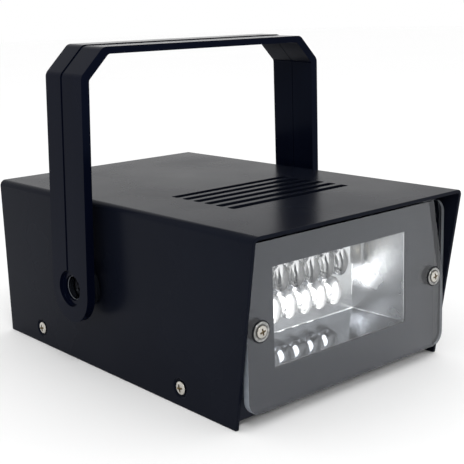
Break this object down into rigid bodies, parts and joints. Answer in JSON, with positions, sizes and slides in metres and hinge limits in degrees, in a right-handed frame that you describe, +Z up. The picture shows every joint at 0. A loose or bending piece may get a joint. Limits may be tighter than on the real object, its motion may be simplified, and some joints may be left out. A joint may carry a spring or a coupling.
{
  "type": "strobe light",
  "caption": "Small box strobe light: folded black sheet-metal housing with top vents, clear front plate over a mirrored LED reflector, and a turning hanging handle with friction spacers.",
  "frame": {"origin": "centre of the bounding box in X and Y, at the lower edges of the cover's skirts, on which the lamp stands", "axes": "+Z up, -Y the way the lamp shines, +X to the right of someone who looks into the lamp; the handle's pivot axis lies along X"},
  "size_m": [0.1474, 0.208, 0.1476],
  "materials": {
    "cover_black": "satin black powder coat",
    "tray_black": "satin black paint",
    "clear_plate": "clear, glossy",
    "nickel": "nickel plated",
    "reflector_mirror": "polished",
    "led_clear": "water-clear resin",
    "handle_black": "semi-gloss black, smooth",
    "spacer_black": "glossy black",
    "circuit_board": "green solder mask",
    "steel": "zinc plated",
    "transformer_steel": "varnished laminations",
    "winding": "taped copper winding",
    "capacitor_sleeve": "printed sleeve left plain",
    "terminal_green": "moulded",
    "plain_black": "moulded black"
  },
  "bodies": {
    "housing": {"base_tray": "tray_black", "board_post_left_front": "steel", "board_post_left_rear": "steel", "board_post_right_front": "steel", "board_post_right_rear": "steel", "cord_gland": "plain_black", "cover_screw_left_front": "nickel", "cover_screw_left_rear": "nickel", "cover_screw_right_front": "nickel", "cover_screw_right_rear": "nickel", "driver_board": "circuit_board", "friction_spacer_left": "spacer_black", "friction_spacer_right": "spacer_black", "gland_nut": "plain_black", "led_01": "led_clear", "led_02": "led_clear", "led_03": "led_clear", "led_04": "led_clear", "led_05": "led_clear", "led_06": "led_clear", "led_07": "led_clear", "led_08": "led_clear", "led_09": "led_clear", "led_10": "led_clear", "led_11": "led_clear", "led_board": "circuit_board", "lens_nut_left": "steel", "lens_nut_right": "steel", "lens_plate": "clear_plate", "lens_screw_left": "nickel", "lens_screw_right": "nickel", "lens_spacer_left": "plain_black", "lens_spacer_right": "plain_black", "lens_washer_left": "nickel", "lens_washer_right": "nickel", "main_capacitor": "capacitor_sleeve", "pivot_nut_left": "steel", "pivot_nut_right": "steel", "pivot_screw_left": "steel", "pivot_screw_right": "steel", "pot_nut": "nickel", "rectifier": "plain_black", "reflector": "reflector_mirror", "speed_pot_body": "steel", "switching_transistor": "plain_black", "terminal_block": "terminal_green", "timer_chip": "plain_black", "top_cover": "cover_black", "transformer_core": "transformer_steel", "transformer_winding": "winding"},
    "handle": {"handle": "handle_black"},
    "speed_control": {"speed_shaft": "steel", "speed_knob": "plain_black"}
  },
  "joints": [
    {"name": "handle_pivot", "type": "hinge", "parent": "housing", "child": "handle", "pos_m": [0, 0.00855, 0.0402], "axis": [1, 0, 0], "range_deg": [-238, 55]},
    {"name": "speed_turn", "type": "hinge", "parent": "housing", "child": "speed_control", "pos_m": [0.03, 0.08805, 0.048], "axis": [0, 1, 0], "range_deg": [-150, 150]}
  ]
}
